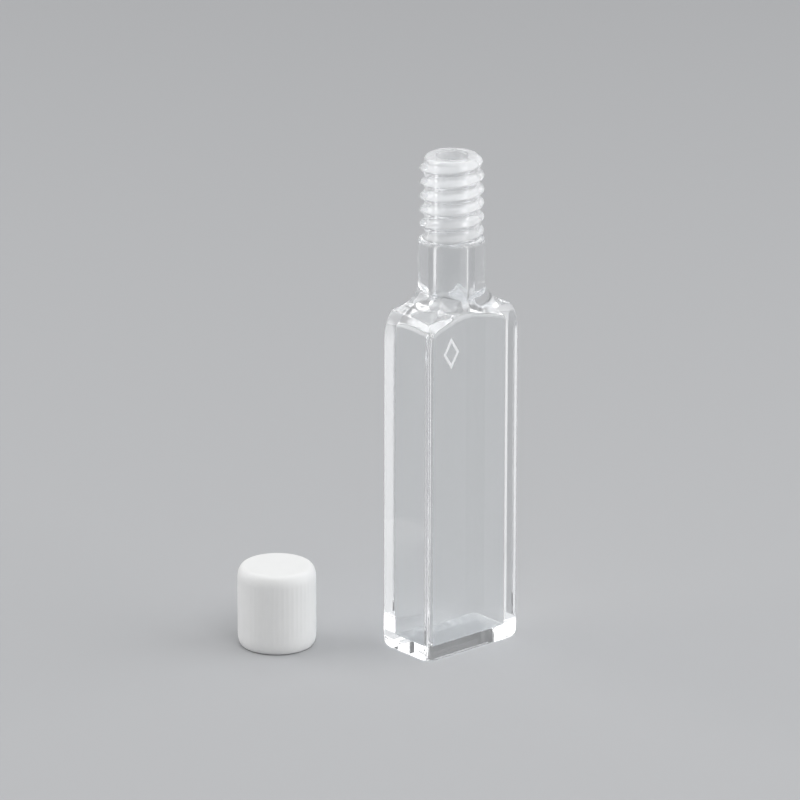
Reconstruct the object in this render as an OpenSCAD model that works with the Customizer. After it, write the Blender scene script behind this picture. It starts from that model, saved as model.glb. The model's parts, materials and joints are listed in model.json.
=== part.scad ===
// Screw-neck cuvette of fused quartz, with its ribbed screw cap standing beside it.
// Millimetres. The origin is the middle of the cell's base. X runs along the wide windows,
// Y along the light path and Z up the neck.

/* [Cell] */
// Outer width of the cell, across its wide windows
cell_w = 12.5; // [11.5:0.1:16]
// Outer depth of the cell, along the light path
cell_d = 7.25; // [7.05:0.05:12]
// Height at which the walls begin to lean in towards the shoulder
wall_h = 33.5; // [20:0.05:45]
// Thickness of the four walls
wall_t = 1.3; // [0.8:0.05:1.6]
// Thickness of the floor
floor_t = 1.35; // [0.8:0.05:3]
// Rounding of the four upright outer edges
edge_r = 0.4; // [0.3:0.05:1]
// Bevel round the base
foot_bevel = 0.15; // [0.05:0.05:0.25]

/* [Shoulder] */
// Width of the shoulder's rounding at the cell's corners, measured towards the neck
shoulder_round_w = 1.2; // [0.6:0.05:1.8]
// Height of that rounding
shoulder_round_h = 3.4; // [1.5:0.1:4]
// Slope of the shoulder between its rounding and its fillet, in degrees
shoulder_slope = 21.5; // [10:0.5:35]
// Radius of the fillet that sweeps from the shoulder up into the collar
neck_fillet = 2.8; // [1.5:0.1:3.5]
// Thickness of the shoulder, square to its slope
shoulder_t = 1.65; // [1:0.05:2]
// Radius of the flare by which the bore opens into the cell
bore_flare = 1.5; // [0.5:0.1:2]

/* [Neck] */
// Diameter of the plain collar
collar_dia = 6.9; // [6.7:0.05:7.1]
// Length of the plain collar above its fillet
collar_l = 4.55; // [2:0.05:12]
// Rounding of the collar's top edge
collar_round = 0.45; // [0.1:0.05:0.45]
// Length of the neck from the collar's top to the rim
thread_l = 8.7; // [6:0.05:14]
// Diameter over the crests of the thread
thread_dia = 6.65; // [6.3:0.05:6.9]
// Diameter of the neck between the crests
thread_core_dia = 5.7; // [5.4:0.05:5.75]
// Rise of the thread in one turn
thread_pitch = 1.48; // [1.2:0.01:2]
// Height over which the thread fades out at each end
thread_fade = 1; // [0.5:0.1:2]
// Bearing at which the line of the crest would meet the rim, in degrees
thread_start = 109; // [0:1:360]
// Diameter of the bore through the neck
bore_dia = 3.2; // [2.4:0.1:3.6]
// Rounding of the rim's outer edge
rim_round = 0.4; // [0.2:0.05:0.6]
// Rounding of the rim's inner edge
mouth_round = 0.2; // [0.1:0.05:0.5]

/* [Mark] */
// Width of the lozenge etched into the front window
mark_w = 2.1; // [1.4:0.05:3]
// Height of the lozenge
mark_h = 3.35; // [2:0.05:5]
// Width of the etched line
mark_line = 0.28; // [0.15:0.01:0.4]
// Depth of the etched line
mark_depth = 0.05; // [0.02:0.01:0.1]
// Distance of the lozenge's middle from the neck's axis, towards -X
mark_side = 3.16; // [0:0.01:4]
// Distance of the lozenge's middle below the height at which the walls begin to lean in
mark_drop = 0.25; // [0:0.05:12]

/* [Cap] */
// Thickness of the cap's wall outside the thread's clearance
cap_wall = 0.69; // [0.6:0.01:1.2]
// Thickness of the cap's closed end
crown_t = 0.85; // [0.6:0.05:2]
// Height that stays between the cap's mouth and the collar when the cap is screwed home
cap_stop = 1.4; // [0.5:0.1:2]
// Radial clearance between the neck's thread and the cap's thread
cap_clear = 0.1; // [0.05:0.01:0.12]
// Radial clearance round the thread in the plain lead-in and in the liner's seat
lead_clear = 0.13; // [0.13:0.01:0.2]
// Length of the plain lead-in at the mouth
lead_l = 0.8; // [0.4:0.1:1.5]
// Width of the rounding at the closed end, measured across the cap
crown_round_w = 0.7; // [0.3:0.05:1]
// Height of the rounding at the closed end
crown_round_h = 1.35; // [0.5:0.05:1.6]
// Width of the rounding at the mouth, measured across the cap
foot_round_w = 0.42; // [0.1:0.02:0.42]
// Height of the rounding at the mouth
foot_round_h = 1.25; // [0.4:0.05:1.5]
// Number of shallow flutes round the grip
flute_count = 48; // [24:1:60]
// Depth of each flute
flute_depth = 0.06; // [0.02:0.01:0.1]
// Thickness of the sealing liner
liner_t = 0.5; // [0.3:0.05:1]
// Radial clearance of the liner in its seat
liner_clear = 0.04; // [0.02:0.01:0.1]
// Free distance between the cell's side and the cap standing beside it, along X
cap_gap = 3.75; // [2:0.05:12]
// Distance of the standing cap's axis behind the neck's axis, along Y
cap_back = 11.35; // [0:0.05:20]

/* [Hidden] */

round_fn = 96;     // sides of the true circles
thread_fn = 40;    // facets of the thread in one turn
thread_rows = 9;   // facets of the thread in one pitch
arc_steps = 10;    // facets of a small rounding
sweep_steps = 16;  // facets of the shoulder's long curves
edge_steps = 6;    // facets of an upright edge
wide_steps = 20;   // facets that the shoulder has over each wide window
narrow_steps = 10; // facets that it has over each narrow side
foot_ledge = 0.04; // width of the ledge on which the collar stands
flute_steps = 4;   // facets of one flute
over = 0.1;        // overlap of a cut with the space that it opens into
crest_power = 1.4; // above 1 it narrows the thread's crests and widens its roots

collar_r = collar_dia / 2;
bore_r = bore_dia / 2;
thread_r = thread_dia / 2;
core_r = thread_core_dia / 2;

// At the corners the shoulder's rounding, the fillet outside and the flare inside are arcs round
// these centres, as [radius, height]
corner_r = norm([cell_w / 2 - edge_r, cell_d / 2 - edge_r]) + edge_r;
round_mid = [corner_r - shoulder_round_w, wall_h];
round_top = norm([shoulder_round_w * sin(shoulder_slope), shoulder_round_h * cos(shoulder_slope)]);
round_end = atan2(shoulder_round_h * cos(shoulder_slope), shoulder_round_w * sin(shoulder_slope));
fillet_mid = sweep_mid(collar_r, neck_fillet, 0);
flare_mid = sweep_mid(bore_r, bore_flare, shoulder_t);
foot_r = collar_r + foot_ledge;
foot_turn = acos(1 - foot_ledge / neck_fillet);
collar_z = fillet_mid.y + collar_l;
rim_z = collar_z + thread_l;

socket_l = thread_l - cap_stop;
seat_r = thread_r + lead_clear;
cap_r = thread_r + cap_clear + cap_wall;
cap_h = socket_l + liner_t + crown_t;
liner_r = seat_r - liner_clear;
cap_x = -(cell_w / 2 + cap_gap + cap_r);

// Points of an elliptic arc round middle c, with half axes a and b, between two bearings
function arc(c, a, b, from, to, steps = arc_steps) =
    [for (i = [0 : steps]) let (t = from + (to - from) * i / steps) c + [a * cos(t), b * sin(t)]];

function limit(v) = max(0, min(1, v));

// Height at radius r of the shoulder's sloping line, sunk by a depth square to the slope
function slope_z(r, depth) =
    wall_h + (round_top - depth) / cos(shoulder_slope) + (round_mid.x - r) * tan(shoulder_slope);

// Centre of the arc that leaves the upright line at radius r and touches the sunk sloping line
function sweep_mid(r, sweep, depth) =
    [r + sweep, slope_z(r + sweep * (1 - sin(shoulder_slope)), depth) + sweep * cos(shoulder_slope)];

// Radius that the thread adds at height z and bearing t: a rounded ridge on a right-hand helix,
// which fades out at both ends of the stretch from low to high
function ridge(z, t, low, high, top, height) =
    let (turns = (z - top) / thread_pitch - (t - thread_start) / 360,
         off = turns - round(turns),
         crest_z = z - off * thread_pitch,
         fade = limit((high - crest_z) / thread_fade) * limit((crest_z - low) / thread_fade))
    height * fade * pow(0.5 + 0.5 * cos(360 * off), crest_power);

// Closed solid of level rings of points, from the lowest up
module stack(rings) {
    n = len(rings[0]);
    m = len(rings);
    ends = [[0, 0, rings[0][0].z], [0, 0, rings[m - 1][0].z]];
    walls = [for (k = [0 : m - 2]) for (i = [0 : n - 1]) let (j = (i + 1) % n)
        each [[k * n + i, (k + 1) * n + i, (k + 1) * n + j], [k * n + i, (k + 1) * n + j, k * n + j]]];
    lids = [for (i = [0 : n - 1]) let (j = (i + 1) % n)
        each [[m * n, i, j], [m * n + 1, (m - 1) * n + j, (m - 1) * n + i]]];
    polyhedron(concat([for (ring = rings) each ring], ends), concat(walls, lids), convexity = 10);
}

// Point at bearing t
function toward(t) = [cos(t), sin(t)];

// Points round the cell, drawn in by inset: each corner with the face that follows it
function cell_ring(inset) =
    [for (k = [0 : 3])
        let (r = edge_r - inset,
             corner = [cell_w / 2 - edge_r, cell_d / 2 - edge_r],
             mid = [[corner.x, corner.y], [-corner.x, corner.y], [-corner.x, -corner.y], [corner.x, -corner.y]][k],
             out = (k % 2 == 0 ? corner.y : corner.x) + r,
             spread = atan((k % 2 == 0 ? corner.x : corner.y) / out),
             steps = k % 2 == 0 ? wide_steps : narrow_steps)
        each concat(
            [for (i = [0 : edge_steps]) mid + r * toward(90 * (k + i / edge_steps))],
            [for (i = [1 : steps - 1])
                out * (toward(90 * (k + 1)) + tan(spread * (2 * i / steps - 1)) * toward(90 * (k + 2)))])];

// Cell and shoulder: the corners follow the shoulder's profile, and the faces between them pass
// from the cell's outline to the collar's foot at the same rate
module cell_and_shoulder() {
    outline = cell_ring(0);
    profile = concat(arc(round_mid, shoulder_round_w, shoulder_round_h, 0, round_end),
        arc(fillet_mid, neck_fillet, neck_fillet, 270 - shoulder_slope, 180 + foot_turn, sweep_steps));
    stack(concat([[for (q = cell_ring(foot_bevel)) [q.x, q.y, 0]], [for (q = outline) [q.x, q.y, foot_bevel]]],
        [for (p = profile) let (share = (p.x - foot_r) / (corner_r - foot_r))
            [for (q = outline) let (s = (foot_r + (norm(q) - foot_r) * share) / norm(q)) [q.x * s, q.y * s, p.y]]]));
}

// Plain collar, rooted inside the shoulder
module collar() {
    rotate_extrude($fn = round_fn)
        polygon(concat([[0, wall_h], [collar_r, wall_h]],
            arc([collar_r - collar_round, collar_z - collar_round], collar_round, collar_round, 0, 90),
            [[0, collar_z]]));
}

// Turned inside of shoulder and neck, with the bore and its rounded mouth
module turned_inside() {
    rotate_extrude($fn = round_fn)
        polygon(concat([[0, -over], [corner_r, -over], [corner_r, slope_z(corner_r, shoulder_t)]],
            arc(flare_mid, bore_flare, bore_flare, 270 - shoulder_slope, 180, sweep_steps),
            arc([bore_r + mouth_round, rim_z - mouth_round], mouth_round, mouth_round, 180, 90),
            [[bore_r + mouth_round, rim_z + over], [0, rim_z + over]]));
}

// Threaded end of the neck with its rounded rim, rooted inside the collar
module threaded_neck() {
    low = collar_z - thread_fade / 2;
    round_z = rim_z - rim_round;
    rows = ceil((round_z - collar_z) * thread_rows / thread_pitch);
    heights = concat([collar_z - collar_round],
        [for (k = [0 : rows - 1]) collar_z + (round_z - collar_z) * k / rows],
        [for (i = [0 : arc_steps / 2]) round_z + rim_round * sin(180 * i / arc_steps)]);
    stack([for (z = heights)
        let (drawn_in = rim_round - sqrt(max(0, pow(rim_round, 2) - pow(max(0, z - round_z), 2))))
        [for (i = [0 : thread_fn - 1]) let (t = 360 * i / thread_fn, r = core_r - drawn_in
            + (z < collar_z ? 0 : ridge(z, t, low, rim_z, rim_z, thread_r - core_r)))
            [r * cos(t), r * sin(t), z]]]);
}

// Space that holds the sample, with the way out through the neck
module inside() {
    intersection() {
        translate([-cell_w / 2 + wall_t, -cell_d / 2 + wall_t, floor_t])
            cube([cell_w - 2 * wall_t, cell_d - 2 * wall_t, rim_z]);
        turned_inside();
    }
}

// Lozenge of half axes a and b
module lozenge(a, b) {
    polygon([[a, 0], [0, b], [-a, 0], [0, -b]]);
}

// Etched line of the orientation mark on the front window
module etched_mark() {
    a = mark_w / 2;
    b = mark_h / 2;
    inner = 1 - mark_line * norm([a, b]) / (a * b);
    translate([-mark_side, -cell_d / 2 + mark_depth, wall_h - mark_drop]) rotate([90, 0, 0])
        linear_extrude(mark_depth + over) difference() {
            lozenge(a, b);
            lozenge(a * inner, b * inner);
        }
}

module cuvette_body() {
    color([0.86, 0.9, 0.93, 0.4]) difference() {
        union() {
            cell_and_shoulder();
            collar();
            threaded_neck();
        }
        inside();
        etched_mark();
    }
}

// Rounded foot and rounded closed end of the cap, turned with the core that the flutes run round
module cap_turned() {
    grip_core_r = cap_r - 2 * flute_depth;
    rotate_extrude($fn = round_fn)
        polygon(concat([[0, 0]],
            arc([cap_r - foot_round_w, foot_round_h], foot_round_w, foot_round_h, 270, 360),
            [[grip_core_r, foot_round_h], [grip_core_r, cap_h - crown_round_h]],
            arc([cap_r - crown_round_w, cap_h - crown_round_h], crown_round_w, crown_round_h, 0, 90),
            [[0, cap_h]]));
}

// Fluted grip round that core
module cap_grip() {
    sides = flute_count * flute_steps;
    translate([0, 0, foot_round_h]) linear_extrude(cap_h - crown_round_h - foot_round_h)
        polygon([for (i = [0 : sides - 1])
            let (r = cap_r - flute_depth * (0.5 - 0.5 * cos(360 * i / flute_steps)))
            r * [cos(360 * i / sides), sin(360 * i / sides)]]);
}

// Threaded space in the cap, with its plain lead-in and the liner's seat
module cap_socket() {
    bottom = lead_l - over;
    top = socket_l + over;
    rows = ceil((top - bottom) * thread_rows / thread_pitch);
    translate([0, 0, -over]) cylinder(lead_l + over, r = seat_r, $fn = round_fn);
    translate([0, 0, socket_l]) cylinder(liner_t, r = seat_r, $fn = round_fn);
    stack([for (k = [0 : rows]) let (z = bottom + (top - bottom) * k / rows)
        [for (i = [0 : thread_fn - 1]) let (t = 360 * i / thread_fn, r = core_r + cap_clear
            + ridge(z, t, -thread_l, 2 * thread_l, socket_l, thread_r - core_r))
            [r * cos(t), r * sin(t), z]]]);
}

module screw_cap() {
    color([0.93, 0.93, 0.92]) translate([cap_x, cap_back, 0]) difference() {
        union() {
            cap_turned();
            cap_grip();
        }
        cap_socket();
    }
}

module cap_liner() {
    color([0.97, 0.97, 0.96]) translate([cap_x, cap_back, socket_l])
        cylinder(liner_t, r = liner_r, $fn = round_fn);
}

cuvette_body();
screw_cap();
cap_liner();
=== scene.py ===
import json

import bpy
import numpy as np
from mathutils import Matrix, Vector


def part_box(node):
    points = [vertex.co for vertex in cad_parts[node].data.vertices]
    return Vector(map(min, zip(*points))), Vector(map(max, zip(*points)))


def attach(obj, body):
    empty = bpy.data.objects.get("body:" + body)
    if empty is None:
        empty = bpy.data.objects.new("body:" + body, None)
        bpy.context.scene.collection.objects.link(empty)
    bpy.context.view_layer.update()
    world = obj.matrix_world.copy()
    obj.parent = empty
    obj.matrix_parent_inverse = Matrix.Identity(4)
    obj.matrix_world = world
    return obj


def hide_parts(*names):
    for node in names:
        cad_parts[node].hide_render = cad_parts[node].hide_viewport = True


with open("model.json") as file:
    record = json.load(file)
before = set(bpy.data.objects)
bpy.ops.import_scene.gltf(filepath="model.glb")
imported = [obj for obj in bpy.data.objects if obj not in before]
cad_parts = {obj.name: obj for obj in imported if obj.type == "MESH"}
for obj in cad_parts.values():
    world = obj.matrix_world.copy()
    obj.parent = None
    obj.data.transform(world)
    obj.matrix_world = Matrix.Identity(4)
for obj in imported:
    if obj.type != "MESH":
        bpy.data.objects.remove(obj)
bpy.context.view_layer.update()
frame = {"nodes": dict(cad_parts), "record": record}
print("frame loaded:", ", ".join(sorted(frame["nodes"])))

mm = 0.001
cellLow, cellHigh = (np.array(corner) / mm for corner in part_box("cuvette_body"))
capLow, capHigh = (np.array(corner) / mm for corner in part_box("screw_cap"))
linerLow, linerHigh = (np.array(corner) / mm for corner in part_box("cap_liner"))
mounts = {mount["name"]: mount for mount in frame["record"]["mounts"]}


# surfaces, in millimetres

def arc(middle, radius, fromAngle, toAngle, steps):
    # round stretch of a profile as rows of (radius, height), angles in degrees
    t = np.radians(np.linspace(fromAngle, toAngle, steps + 1))
    return np.column_stack([middle[0] + radius[0] * np.cos(t), middle[1] + radius[1] * np.sin(t)])


def alongLengths(profile):
    # distance travelled along a profile at each of its points
    return np.concatenate([[0], np.cumsum(np.hypot(*np.diff(profile, axis=0).T))])


def eased(steps, power=1.6):
    # 0 to 1 with the steps drawn closer towards both ends
    t = np.linspace(-1, 1, steps + 1)
    return 0.5 + 0.5 * np.sign(t) * (1 - (1 - np.abs(t)) ** power)


def stacked(plan, heights):
    # one plan outline repeated at each height: rows x columns x 3
    heights = np.asarray(heights, float)
    if heights.ndim == 1:
        heights = np.repeat(heights[:, None], len(plan), axis=1)
    flat = np.broadcast_to(plan, (len(heights),) + plan.shape)
    return np.concatenate([flat, heights[:, :, None]], axis=2)


def turned(radii, heights, bearings):
    # turned surface: each row has its radius and height, either may change with the bearing
    radii, heights = (np.asarray(v, float) for v in (radii, heights))
    shape = (len(radii), len(bearings))
    radii = np.broadcast_to(radii if radii.ndim == 2 else radii[:, None], shape)
    heights = np.broadcast_to(heights if heights.ndim == 2 else heights[:, None], shape)
    return np.stack([radii * np.cos(bearings), radii * np.sin(bearings), heights], axis=2)


def newPiece(name, points, faces):
    # a piece's mesh, with its place in it, and its object
    mesh = bpy.data.meshes.new(name)
    mesh.from_pydata(points, [], faces)
    mesh.update()
    piece = bpy.data.objects.new(name, mesh)
    bpy.context.scene.collection.objects.link(piece)
    return piece


def closedPiece(name, rows, place=(0, 0)):
    # skin over a grid that goes round in columns and shrinks to a point at its first and last row
    rows = rows * mm + np.array([*place, 0]) * mm
    count, around = rows.shape[:2]
    body = rows[1:-1].reshape(-1, 3)
    points = np.concatenate([rows[:1, 0], body, rows[-1:, 0]])
    here = np.arange(around)
    ahead = (here + 1) % around
    bands = count - 3        # bands of quads between the two fans
    level = 1 + np.arange(bands)[:, None] * around
    above = level + around
    quads = np.stack([level + here, level + ahead, above + ahead, above + here], axis=2)
    last = 1 + bands * around
    startFan = np.column_stack([np.zeros(around, int), 1 + ahead, 1 + here])
    endFan = np.column_stack([np.full(around, len(points) - 1), last + here, last + ahead])
    faces = startFan.tolist() + quads.reshape(-1, 4).tolist() + endFan.tolist()
    piece = newPiece(name, points, faces)
    piece.data.polygons.foreach_set("use_smooth", np.ones(len(faces), bool))
    return piece


def ridge(z, bearings, low, high, top, thread):
    # height of the thread's ridge: a power of a raised cosine across the pitch, on a right-hand
    # helix, which fades out at both ends of the stretch from low to high
    turns = (z - top) / thread["pitch"] - (np.degrees(bearings) - thread["start"]) / 360
    off = turns - np.round(turns)
    crest = z - off * thread["pitch"]
    fadeUp = np.clip((crest - low) / thread["fade"], 0, 1)
    fadeDown = np.clip((high - crest) / thread["fade"], 0, 1)
    wave = (0.5 + 0.5 * np.cos(2 * np.pi * off)) ** thread["crestPower"]
    return thread["depth"] * (fadeDown * fadeUp) * wave


# quartz cell

thread = {
    "pitch": 1.48,
    "start": 109,                # bearing of a crest at the rim, in degrees
    "depth": 0.475,
    "fade": 1.0,                 # length over which the ridge runs out
    "crestPower": 1.4,           # a higher power gives a narrower crest
}

cell = {
    "wallTop": 33.5,             # height at which the walls begin to lean in towards the shoulder
    "edgeRadius": 0.4,           # upright outer edges
    "wall": 1.3,
    "floor": 1.35,
    "footBevel": 0.15,
    "footCorner": (0.8, 0.9),    # extra radius of the upright edges at the base, and its height
    "innerEdge": 0.04,           # radius of the upright inner edges
    "shoulderRound": (1.2, 3.4),     # rounding at the cell's corners, across and up
    "shoulderSlope": 21.5,
    "shoulderThick": 1.65,
    "innerMelt": 0.35,           # softening of the line where inner wall and ceiling meet
    "neckFillet": 2.8,
    "flare": 1.5,                # sweep from the ceiling into the bore
    "collarRadius": 3.45,
    "collarLength": 4.55,
    "collarRound": 0.45,
    "collarTurn": 84,            # degrees of that rounding before the thread's core
    "threadCore": 2.85,
    "rimRound": 0.4,
    "mouthRound": 0.2,
    "refraction": 1.458,
    "lampShade": (0.9, 0.91, 0.92),  # how much of a lamp's light comes straight through
    "grain": (900.0, 4200.0),    # broad and fine scale of the uneven finishes
    "leastRough": 0.6,           # their least roughness, as a share of the greatest
    "finishes": {                # colour, share that is clear, greatest roughness
        "fused_quartz": ((0.96, 0.967, 0.97), 1.0, 0),
        "moulded_quartz": ((0.98, 0.985, 0.99), 0.73, 0.1),
        "hazy_quartz": ((0.96, 0.965, 0.97), 0.86, 0.12),
    },
    "rows": {                    # rows in each stretch, and columns round the cell
        "rounding": 8, "wall": 10, "cornerRound": 26, "sweep": 44, "collar": 8, "collarBend": 9,
        "thread": 150, "mouth": 6, "bore": 24, "ceiling": 34, "well": 11,
        "wideSide": 44, "narrowSide": 24, "corner": 12,
    },
}
cornerReach = np.hypot(*(cellHigh[:2] - cell["edgeRadius"])) + cell["edgeRadius"]


def boxOutline(halfW, halfD, radius, close=0.012):
    # rounded rectangle walked anticlockwise: straights with a close column at both ends, and
    # quarter arcs
    wide, narrow, corner = (cell["rows"][side] for side in ("wideSide", "narrowSide", "corner"))
    reach = np.array([[1, -1], [1, 1], [-1, 1], [-1, -1]]) * [halfW - radius, halfD - radius]
    points = []
    for side in range(4):
        outward = np.array([[1, 0], [0, 1], [-1, 0], [0, -1]])[side] * radius
        middle = np.linspace(close, 1 - close, wide if side % 2 else narrow)
        s = np.concatenate([[0], middle, [1]])[:, None]
        start, end = reach[side] + outward, reach[(side + 1) % 4] + outward
        points.append(start + s * (end - start))
        t = np.radians(90 * side + np.linspace(0, 90, corner + 1)[1:-1])
        turn = np.column_stack([np.cos(t), np.sin(t)])
        points.append(reach[(side + 1) % 4] + radius * turn)
    return np.concatenate(points)


def shoulderLine(depth, start, sweep):
    # profile of the shoulder from the neck outwards, sunk by a depth square to its slope: a sweep,
    # the sloping line and, outside, the elliptic rounding of the corners
    slope = np.radians(cell["shoulderSlope"])
    across, up = cell["shoulderRound"]
    roundX = cornerReach - across
    top = np.hypot(across * np.sin(slope), up * np.cos(slope))

    def lineZ(r):
        return cell["wallTop"] + (top - depth) / np.cos(slope) + (roundX - r) * np.tan(slope)

    foot = start + sweep * (1 - np.sin(slope))
    middle = (start + sweep, lineZ(foot) + sweep * np.cos(slope))
    sweepArc = arc(middle, (sweep, sweep), 180, 270 - cell["shoulderSlope"], cell["rows"]["sweep"])
    if depth:
        return np.concatenate([sweepArc, [[cornerReach, lineZ(cornerReach)]]])
    end = np.degrees(np.arctan2(up * np.cos(slope), across * np.sin(slope)))
    cornerArc = arc((roundX, cell["wallTop"]), (across, up), end, 0, cell["rows"]["cornerRound"])
    between = np.array([[0.35], [0.7]])      # two rows along the straight slope
    line = sweepArc[-1] + between * (cornerArc[0] - sweepArc[-1])
    return np.concatenate([sweepArc, line, cornerArc])


def leaned(outline, profile):
    # rings of the shoulder: the corners follow the profile, and the faces between them pass from
    # the outline to the collar's circle at the same rate
    reach = np.hypot(*outline.T)
    collar = cell["collarRadius"]
    share = (profile[:, :1] - collar) / (cornerReach - collar)
    rings = outline * ((collar + (reach - collar) * share) / reach)[:, :, None]
    heights = np.repeat(profile[:, 1:], len(outline), axis=1)
    return np.concatenate([rings, heights[:, :, None]], axis=2)


def overShoulder(outline, bearings, profile, neckRadius, melt, gather=1.15):
    # from an upright wall up over its softened edge and along the profile to the neck: each column
    # runs from its place on the outline to its bearing on the neck's circle, and a higher gather
    # draws its rows closer to the neck
    lengths = alongLengths(profile)
    reach = np.hypot(*outline.T)
    own = np.arctan2(outline[:, 1], outline[:, 0])
    turn = (bearings - own + np.pi) % (2 * np.pi) - np.pi
    full = np.interp(reach, profile[:, 0], lengths)

    def at(length):
        radius = np.interp(length, lengths, profile[:, 0])
        bearing = own + turn * (reach - radius) / (reach - neckRadius)
        height = np.interp(length, lengths, profile[:, 1])
        return np.stack([radius * np.cos(bearing), radius * np.sin(bearing), height], axis=-1)

    edge = at(full)
    below = edge - [0, 0, melt]
    beyond = at(full - melt)
    q = np.linspace(0, 1, cell["rows"]["rounding"] + 1)[:, None, None]
    bend = (1 - q) ** 2 * below + 2 * q * (1 - q) * edge + q ** 2 * beyond
    rest = np.linspace(1, 0, cell["rows"]["ceiling"] + 1)[1:, None] ** gather * (full - melt)
    return np.concatenate([bend, at(rest)])


def footRows(halfW, halfD, outer):
    # the base out from its middle, then the wall: a bevel, upright edges whose radius shrinks from
    # the base upwards like 1 - sine while the height grows like 1 - cosine, and the plain outline
    bevel = cell["footBevel"]
    extra, rise = cell["footCorner"]
    quarter = np.radians(np.linspace(0, 90, cell["rows"]["rounding"] + 1)[:-1])
    radii = cell["edgeRadius"] + extra * (1 - np.sin(quarter))
    heights = bevel + rise * (1 - np.cos(quarter))
    base = boxOutline(halfW - bevel, halfD - bevel, radii[0] - bevel)
    shares = (0, 0.3, 0.7, 0.97, 0.995, 1)   # rings of the flat base, close together at its edge
    belowTop = 0.1                           # the rows end here, and the shoulder's begin above
    start, end = bevel + rise, cell["wallTop"] - belowTop
    upright = start + eased(cell["rows"]["wall"])[:-1] * (end - start)
    return np.concatenate(
        [stacked(base * share, [0]) for share in shares]
        + [stacked(boxOutline(halfW, halfD, radius), [z]) for radius, z in zip(radii, heights)]
        + [stacked(outer, upright)])


def collarRows(foot, top, bearings):
    # cylinder with a circular rounding at its top
    radius, bend = cell["collarRadius"], cell["collarRound"]
    rise = np.linspace(foot, top - bend, cell["rows"]["collar"] + 1)[1:]
    rounding = arc((radius - bend, top - bend), (bend, bend), 0, cell["collarTurn"],
                   cell["rows"]["collarBend"])[1:]
    return np.concatenate([
        turned(np.full(len(rise), radius), rise, bearings),
        turned(rounding[:, 0], rounding[:, 1], bearings)])


def neckRows(foot, rim, bearings):
    # core cylinder plus the ridge of the thread, drawn in by a quarter circle at the rim
    bend = cell["rimRound"]
    straight = np.linspace(foot, rim - bend, cell["rows"]["thread"])[:, None]
    quarter = np.radians(np.linspace(0, 90, cell["rows"]["rounding"] + 1)[1:, None])
    rise = np.concatenate([straight, rim - bend * (1 - np.sin(quarter))])
    drawnIn = np.concatenate([0 * straight, bend * (1 - np.cos(quarter))])
    outwards = ridge(rise, bearings, foot - thread["fade"] / 2, rim, rim, thread)
    return turned(cell["threadCore"] - drawnIn + outwards, rise + 0 * bearings, bearings)


def boreRows(rim, end, radius, bearings):
    # from the rim down a quarter circle into a cylinder
    bend = cell["mouthRound"]
    mouth = arc((radius + bend, rim - bend), (bend, bend), 90, 180, cell["rows"]["mouth"])
    fall = rim - bend - eased(cell["rows"]["bore"]) * (rim - bend - end)
    return np.concatenate([
        turned(mouth[:, 0], mouth[:, 1], bearings),
        turned(np.full(len(fall) - 2, radius), fall[1:-1], bearings)])


def wellRows(inner, ceilingEdge):
    # inner walls straight down to a row just above the floor, then the floor in to its middle
    floor, justAbove = cell["floor"], 0.06
    shares = (0.99, 0.97, 0.7, 0.3, 0)
    fall = np.linspace(1, 0, cell["rows"]["well"] + 1)[:, None] * (ceilingEdge - floor) + floor
    fall = np.concatenate([fall[1:-1], np.full((2, len(inner)), floor)])
    fall[-2] += justAbove
    flat = [stacked(inner * share, [floor]) for share in shares]
    return np.concatenate([stacked(inner, fall)] + flat)


def quartzCell():
    # one closed skin: base, walls, shoulder, collar and neck outside, then bore, ceiling, inner
    # walls and floor inside
    halfW, halfD, rim = cellHigh
    outer = boxOutline(halfW, halfD, cell["edgeRadius"])
    inner = boxOutline(halfW - cell["wall"], halfD - cell["wall"], cell["innerEdge"])
    bearings = np.arctan2(outer[:, 1], outer[:, 0])
    bore = mounts["neck_bore"]["dims"]["r_mm"]
    outside = shoulderLine(0, cell["collarRadius"], cell["neckFillet"])
    inside = shoulderLine(cell["shoulderThick"], bore, cell["flare"])
    ceiling = overShoulder(inner, bearings, inside, bore, cell["innerMelt"])[::-1]
    collarTop = outside[0, 1] + cell["collarLength"]

    clear, moulded, hazy = range(len(cell["finishes"]))
    parts = [
        (footRows(halfW, halfD, outer), clear),
        (leaned(outer, outside[::-1]), clear),
        (collarRows(outside[0, 1], collarTop, bearings), clear),
        (neckRows(collarTop, rim, bearings), moulded),
        (boreRows(rim, inside[0, 1], bore, bearings), clear),
        (ceiling[:-1], hazy),
        (ceiling[-1:], clear),
        (wellRows(inner, ceiling[-1, :, 2]), clear),
    ]
    piece = closedPiece("quartz_cell", np.concatenate([rows for rows, finish in parts]))
    finishes = np.concatenate([np.full(len(rows) * len(outer), finish) for rows, finish in parts])
    finishes = finishes[:len(piece.data.polygons)].astype(np.int32)
    piece.data.polygons.foreach_set("material_index", finishes)
    return piece


# screw cap

cap = {
    "clear": 0.1,                # radial clearance over the neck's thread
    "leadRadius": 3.455,         # plain lead-in, and the liner's seat
    "leadLength": 0.8,
    "crownRound": (0.7, 1.35),   # roundings at the closed and the open end, across and up
    "footRound": (0.42, 1.25),
    "ribs": 48,
    "ribDepth": 0.016,
    "ribEnds": (0.25, 0.35),     # where the ribs run out, as shares of the two roundings
    "columns": 384,
    "colours": ((0.86, 0.86, 0.85), (0.82, 0.82, 0.815)),
    "roughness": (0.44, 0.56),
    "grain": (420.0, 5200.0),
    "gloss": 0.35,
    "refraction": 1.49,
    "skin": (0.12, 0.02),        # strength and depth in mm of the skin's bump
    "underSkin": (0.15, 0.6),    # share of the light that spreads below it, and how far in mm
    "spread": (1.0, 1.0, 0.95),  # how far each colour spreads
    "rows": {"thread": 55, "footRound": 14, "side": 11, "crownRound": 18},
}


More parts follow.
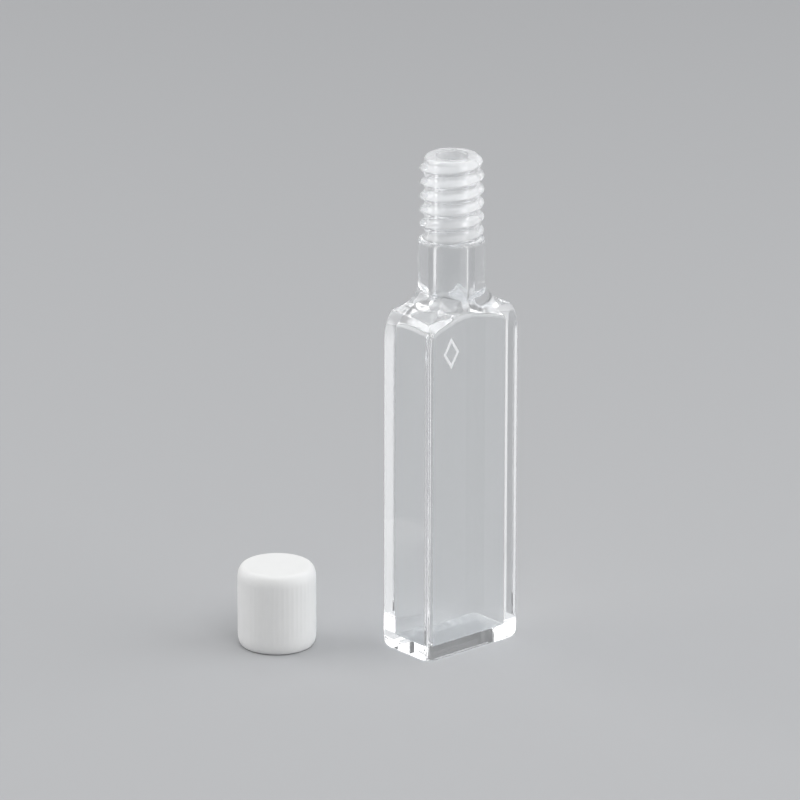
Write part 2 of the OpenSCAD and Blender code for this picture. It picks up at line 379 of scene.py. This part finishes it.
def screwCap():
    # one closed skin: ceiling, liner's seat, thread and lead-in inside, then the ribbed outside,
    # which is drawn in between its ribs by a raised cosine round the axis, and the top
    middle = (capLow + capHigh) / 2
    radius = (capHigh[0] - capLow[0]) / 2
    height = capHigh[2]
    seat, ceilingZ = linerLow[2], linerHigh[2]
    leadIn, leadTop = cap["leadRadius"], cap["leadLength"]
    bearings = np.linspace(0, 2 * np.pi, cap["columns"], endpoint=False)
    shares = np.array([0, 0.4, 0.8, 0.98, 1])    # rings of a flat disc
    close = 0.03                                 # distance of the rows that keep an edge crisp

    lid = turned(leadIn * shares, np.full(len(shares), ceilingZ), bearings)
    seatWall = turned(np.full(3, leadIn), [ceilingZ - close, seat + close, seat], bearings)
    fall = np.linspace(seat, leadTop, cap["rows"]["thread"] + 1)[:, None]
    grooves = ridge(fall, bearings, -np.inf, np.inf, seat, thread)
    socket = turned(cell["threadCore"] + cap["clear"] + grooves, fall + 0 * bearings, bearings)
    lead = turned(np.full(4, leadIn), [leadTop, leadTop - close, close, 0], bearings)

    footW, footH = cap["footRound"]
    crownW, crownH = cap["crownRound"]
    footArc = arc((radius - footW, footH), (footW, footH), -90, 0, cap["rows"]["footRound"])
    rise = np.linspace(footH, height - crownH, cap["rows"]["side"] + 1)[1:-1]
    side = np.column_stack([np.full(len(rise), radius), rise])
    crownArc = arc((radius - crownW, height - crownH), (crownW, crownH), 0, 90,
                   cap["rows"]["crownRound"])
    profile = np.concatenate([footArc, side, crownArc])
    z = profile[:, 1][:, None]
    lowEnd, highEnd = cap["ribEnds"]
    ribbed = (np.clip((z - lowEnd * footH) / footH, 0, 1)
              * np.clip((height - highEnd * crownH - z) / crownH, 0, 1))
    ribs = cap["ribDepth"] * ribbed * (0.5 - 0.5 * np.cos(cap["ribs"] * bearings))
    outside = turned(profile[:, :1] - ribs, z + 0 * bearings, bearings)
    inwards = shares[-2::-1]
    top = turned((radius - crownW) * inwards, np.full(len(inwards), height), bearings)
    rows = np.concatenate([lid, seatWall, socket, lead, outside, top])
    return closedPiece("screw_cap_shell", rows, middle[:2])


# etched mark

mark = {
    "width": 2.1,
    "height": 3.35,
    "line": 0.28,
    "depth": 0.05,
    "proud": 0.002,              # how far it stands out of the window
    "side": 3.16,                # its middle: distance to the left of the cell's axis
    "drop": 0.25,                # and below the wall's top
    "steps": 8,                  # columns along each side
    "colours": ((0.92, 0.93, 0.94), (0.8, 0.81, 0.82)),
    "roughness": (0.6, 0.8),
    "grain": (3800.0, 14000.0),
}


def windowY(x, z):
    # depth at which the front window lies, flat up to the wall's top and leaning in above it
    profile = shoulderLine(0, cell["collarRadius"], cell["neckFillet"])[::-1]
    collar = cell["collarRadius"]
    reach = np.hypot(x, cellLow[1])
    share = (np.interp(z, profile[:, 1], profile[:, 0]) - collar) / (cornerReach - collar)
    return cellLow[1] * (collar + (reach - collar) * share) / reach


def etchedMark():
    # closed band whose rectangular section is carried round a lozenge
    a, b = mark["width"] / 2, mark["height"] / 2
    inner = 1 - mark["line"] * np.hypot(a, b) / (a * b)
    s = np.linspace(0, 1, mark["steps"] + 1)[:-1, None]
    tips = np.array([[a, 0], [0, b], [-a, 0], [0, -b]])
    path = np.concatenate([tips[k] + s * (tips[(k + 1) % 4] - tips[k]) for k in range(4)])
    front, back = -mark["proud"], mark["depth"]
    section = [(1, front), (1, back), (inner, back), (inner, front)]
    middle = np.array([-mark["side"], cell["wallTop"] - mark["drop"]])
    rings = []
    for scale, depth in section:
        x, z = (path * scale + middle).T
        rings.append(np.column_stack([x, windowY(x, z) + depth, z]))
    around, count = len(path), len(section)
    here = np.arange(around)
    ahead = (here + 1) % around
    level = np.arange(count)[:, None] * around
    nextLevel = (level + around) % (count * around)
    quads = np.stack([level + here, nextLevel + here, nextLevel + ahead, level + ahead], axis=2)
    return newPiece("etched_mark", np.concatenate(rings) * mm, quads.reshape(-1, 4).tolist())


# materials

def newMaterial(name):
    # material with its tree and its main shader
    material = bpy.data.materials.new(name)
    material.use_nodes = True
    tree = material.node_tree
    return material, tree, tree.nodes["Principled BSDF"]


def addNode(tree, kind, **values):
    # node whose values go to the sockets of their names, and otherwise to its settings
    node = tree.nodes.new(kind)
    for key, value in values.items():
        if key in node.inputs:
            node.inputs[key].default_value = value
        else:
            setattr(node, key, value)
    return node


def speckleGroup():
    # fine unevenness: a colour between two tones and a mask from broad noise, and a height from
    # broad noise plus a share of fine noise
    group = bpy.data.node_groups.new("fineUnevenness", "ShaderNodeTree")
    for name, kind in (("Light", "NodeSocketColor"), ("Dark", "NodeSocketColor"),
                       ("Broad Scale", "NodeSocketFloat"), ("Fine Scale", "NodeSocketFloat")):
        group.interface.new_socket(name=name, in_out="INPUT", socket_type=kind)
    for name, kind in (("Color", "NodeSocketColor"), ("Mask", "NodeSocketFloat"),
                       ("Height", "NodeSocketFloat")):
        group.interface.new_socket(name=name, in_out="OUTPUT", socket_type=kind)
    entry, leave = group.nodes.new("NodeGroupInput"), group.nodes.new("NodeGroupOutput")
    place = group.nodes.new("ShaderNodeTexCoord")
    broad = addNode(group, "ShaderNodeTexNoise", Detail=3.0, Roughness=0.55)
    fine = addNode(group, "ShaderNodeTexNoise", Detail=2.0, Roughness=0.6)
    both = addNode(group, "ShaderNodeMath", operation="MULTIPLY_ADD")
    fineShare = 0.4
    both.inputs[1].default_value = fineShare
    blend = addNode(group, "ShaderNodeMix", data_type="RGBA")
    darkTone, lightTone = blend.inputs[6], blend.inputs[7]       # the mix's two colours
    links = group.links
    for noise, scale in ((broad, "Broad Scale"), (fine, "Fine Scale")):
        links.new(place.outputs["Object"], noise.inputs["Vector"])
        links.new(entry.outputs[scale], noise.inputs["Scale"])
    links.new(fine.outputs[0], both.inputs[0])
    links.new(broad.outputs[0], both.inputs[2])
    links.new(broad.outputs[0], blend.inputs["Factor"])
    links.new(entry.outputs["Dark"], darkTone)
    links.new(entry.outputs["Light"], lightTone)
    links.new(blend.outputs[2], leave.inputs["Color"])
    links.new(broad.outputs[0], leave.inputs["Mask"])
    links.new(both.outputs[0], leave.inputs["Height"])
    return group


def uneven(tree, group, light, dark, broad, fine):
    # the group placed in a material, with its own two tones and two scales
    node = addNode(tree, "ShaderNodeGroup", node_tree=group)
    node.inputs["Light"].default_value = (*light, 1)
    node.inputs["Dark"].default_value = (*dark, 1)
    node.inputs["Broad Scale"].default_value = broad
    node.inputs["Fine Scale"].default_value = fine
    return node


def roughBetween(tree, shader, speckle, smoothest, roughest):
    # roughness that runs between two values with the broad noise
    rough = addNode(tree, "ShaderNodeMapRange")
    rough.inputs["To Min"].default_value = smoothest
    rough.inputs["To Max"].default_value = roughest
    tree.links.new(speckle.outputs["Mask"], rough.inputs["Value"])
    tree.links.new(rough.outputs[0], shader.inputs["Roughness"])


def quartzMaterial(group, name, colour, clearShare, roughest):
    # quartz whose roughness is a share of broad noise; light from the lamps passes straight through
    material, tree, shader = newMaterial(name)
    shader.inputs["Base Color"].default_value = (*colour, 1)
    shader.inputs["IOR"].default_value = cell["refraction"]
    shader.inputs["Transmission Weight"].default_value = clearShare
    if roughest:
        speckle = uneven(tree, group, (1, 1, 1), (0, 0, 0), *cell["grain"])
        roughBetween(tree, shader, speckle, cell["leastRough"] * roughest, roughest)
    else:
        shader.inputs["Roughness"].default_value = 0
    path = addNode(tree, "ShaderNodeLightPath")
    through = addNode(tree, "ShaderNodeBsdfTransparent", Color=(*cell["lampShade"], 1))
    mix = addNode(tree, "ShaderNodeMixShader")
    tree.links.new(path.outputs["Is Shadow Ray"], mix.inputs[0])
    tree.links.new(shader.outputs[0], mix.inputs[1])
    tree.links.new(through.outputs[0], mix.inputs[2])
    tree.links.new(mix.outputs[0], tree.nodes["Material Output"].inputs["Surface"])
    return material


def unevenMaterial(group, name, look):
    # opaque finish whose colour and roughness run between two values with the broad noise
    material, tree, shader = newMaterial(name)
    speckle = uneven(tree, group, *look["colours"], *look["grain"])
    tree.links.new(speckle.outputs["Color"], shader.inputs["Base Color"])
    roughBetween(tree, shader, speckle, *look["roughness"])
    return material, tree, shader, speckle


def capMaterial(group):
    # white moulded plastic with a satin skin
    material, tree, shader, speckle = unevenMaterial(group, "white_cap_plastic", cap)
    spreads, reach = cap["underSkin"]
    shader.inputs["Subsurface Weight"].default_value = spreads
    shader.inputs["Subsurface Radius"].default_value = cap["spread"]
    shader.inputs["Subsurface Scale"].default_value = reach * mm
    shader.inputs["Specular IOR Level"].default_value = cap["gloss"]
    shader.inputs["IOR"].default_value = cap["refraction"]
    strength, depth = cap["skin"]
    bump = addNode(tree, "ShaderNodeBump", Strength=strength, Distance=depth * mm)
    tree.links.new(speckle.outputs["Height"], bump.inputs["Height"])
    tree.links.new(bump.outputs[0], shader.inputs["Normal"])
    return material


def markMaterial(group):
    # etched quartz: matt, white and slightly uneven
    material, tree, shader, speckle = unevenMaterial(group, "etched_quartz", mark)
    shader.inputs["IOR"].default_value = cell["refraction"]
    return material


liner = {
    "colours": ((0.74, 0.73, 0.7), (0.68, 0.67, 0.64)),
    "roughness": (0.55, 0.7),
    "grain": (700.0, 6000.0),
}


def linerMaterial(group):
    # soft off-white silicone
    return unevenMaterial(group, "liner_silicone", liner)[0]


def floorMaterial():
    # plain floor whose sheen is only for rays that leave glass after reflecting inside it
    material, tree, shader = newMaterial("studio_floor")
    shader.inputs["Base Color"].default_value = (*studio["floorColour"], 1)
    shader.inputs["Roughness"].default_value = studio["floorSheen"]
    path = addNode(tree, "ShaderNodeLightPath")
    inside = addNode(tree, "ShaderNodeMath", operation="MINIMUM")
    tree.links.new(path.outputs["Is Transmission Ray"], inside.inputs[0])
    tree.links.new(path.outputs["Glossy Depth"], inside.inputs[1])
    tree.links.new(inside.outputs[0], shader.inputs["Specular IOR Level"])
    return material


# studio

studio = {
    "floorColour": (0.455, 0.46, 0.47),
    "floorHalf": 1.6,
    "floorDrop": 0.05,           # air gap in mm under the object, so that its base reflects inside
    "floorSheen": 0.3,           # roughness of the floor's sheen
    "worldColour": (0.24, 0.244, 0.25),
    "worldLight": 0.75,          # share of that colour that lights the object and the floor
    "bounces": 128,              # long chains of inner reflections run along the quartz edges
    "shadowLayers": 32,
    "turn": -41.007,             # camera bearing in degrees: 0 looks along +Y
    "lift": 18.964,
    "roll": 0.091,
    "distance": 0.7,
    "across": -0.005235,         # camera shift to the right and up
    "above": 0.025129,
    "lens": 300.69,
    "lamps": {                   # turn from the camera's bearing, lift, distance, size, power
        "key": (18, 46, 0.8, (0.6, 0.4), 2.3),
        "overhead": (150, 76, 0.8, (1.1, 0.9), 3.2),
        "left_box": (-98, 24, 0.52, (0.52, 0.48), 1.65),
        "right_box": (84, 24, 0.52, (0.52, 0.48), 1.5),
    },
}


def addCamera():
    # stands at a distance from the origin along its own line of sight, shifted across and up
    lift, turn = np.radians([studio["lift"], studio["turn"]])
    tilt = Matrix.Rotation(turn, 3, "Z") @ Matrix.Rotation(np.pi / 2 - lift, 3, "X")
    tilt = tilt @ Matrix.Rotation(np.radians(studio["roll"]), 3, "Z")
    data = bpy.data.cameras.new("camera")
    data.lens = studio["lens"]
    data.sensor_width = 36
    data.clip_start = 0.01
    camera = bpy.data.objects.new("camera", data)
    place = tilt @ Vector((studio["across"], studio["above"], studio["distance"]))
    camera.matrix_world = Matrix.Translation(place) @ tilt.to_4x4()
    bpy.context.scene.collection.objects.link(camera)
    bpy.context.scene.camera = camera


def addFloor():
    half = studio["floorHalf"]
    level = -studio["floorDrop"] * mm
    corners = [(x * half, y * half, level) for x, y in ((-1, -1), (1, -1), (1, 1), (-1, 1))]
    floor = newPiece("studio_floor", corners, [(0, 1, 2, 3)])
    floor.data.materials.append(floorMaterial())


def addLamp(name, turn, lift, distance, size, power):
    # soft box on a circle round the object, aimed at its middle
    bearing, height = np.radians([studio["turn"] - 90 + turn, lift])
    level = np.cos(height)
    aim = Vector((capLow[0] + cellHigh[0], capHigh[1] + cellLow[1], cellHigh[2])) * 0.5 * mm
    away = Vector((level * np.cos(bearing), level * np.sin(bearing), np.sin(height)))
    data = bpy.data.lights.new(name, "AREA")
    data.shape = "RECTANGLE"
    data.size, data.size_y = size
    data.energy = power
    lamp = bpy.data.objects.new(name, data)
    lamp.location = aim + distance * away
    lamp.rotation_euler = away.to_track_quat("Z", "Y").to_euler()
    lamp.visible_camera = False
    bpy.context.scene.collection.objects.link(lamp)


def addLight():
    # pale world at full strength where it is seen, directly or in glass, and at a share of it
    # where it lights; and the lamps
    world = bpy.data.worlds.new("studio")
    bpy.context.scene.world = world
    world.use_nodes = True
    tree = world.node_tree
    shade = tree.nodes["Background"]
    shade.inputs["Color"].default_value = (*studio["worldColour"], 1)
    path = addNode(tree, "ShaderNodeLightPath")
    seen = path.outputs["Is Camera Ray"]
    for ray in ("Is Glossy Ray", "Is Transmission Ray"):
        either = addNode(tree, "ShaderNodeMath", operation="MAXIMUM")
        tree.links.new(seen, either.inputs[0])
        tree.links.new(path.outputs[ray], either.inputs[1])
        seen = either.outputs[0]
    strength = addNode(tree, "ShaderNodeMapRange")
    strength.inputs["To Min"].default_value = studio["worldLight"]
    tree.links.new(seen, strength.inputs["Value"])
    tree.links.new(strength.outputs[0], shade.inputs["Strength"])
    for name, setting in studio["lamps"].items():
        addLamp(name, *setting)


addCamera()
addFloor()
addLight()
scene = bpy.context.scene
scene.view_settings.view_transform = "Standard"
scene.cycles.max_bounces = studio["bounces"]
scene.cycles.transmission_bounces = studio["bounces"]
scene.cycles.glossy_bounces = studio["bounces"]
scene.cycles.transparent_max_bounces = studio["shadowLayers"]
print("studio ready")

unevenness = speckleGroup()

glass = quartzCell()
for name, finish in cell["finishes"].items():
    glass.data.materials.append(quartzMaterial(unevenness, name, *finish))
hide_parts("cuvette_body")
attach(glass, "root")
print("quartz cell:", len(glass.data.polygons), "faces")

shell = screwCap()
shell.data.materials.append(capMaterial(unevenness))
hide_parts("screw_cap")
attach(shell, "root")
print("screw cap:", len(shell.data.polygons), "faces")

etched = etchedMark()
etched.data.materials.append(markMaterial(unevenness))
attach(etched, "root")
print("etched mark done")

disc = frame["nodes"]["cap_liner"]
silicone = linerMaterial(unevenness)
if not disc.material_slots:
    disc.data.materials.append(silicone)
for slot in disc.material_slots:
    slot.material = silicone
print("cap liner finished")
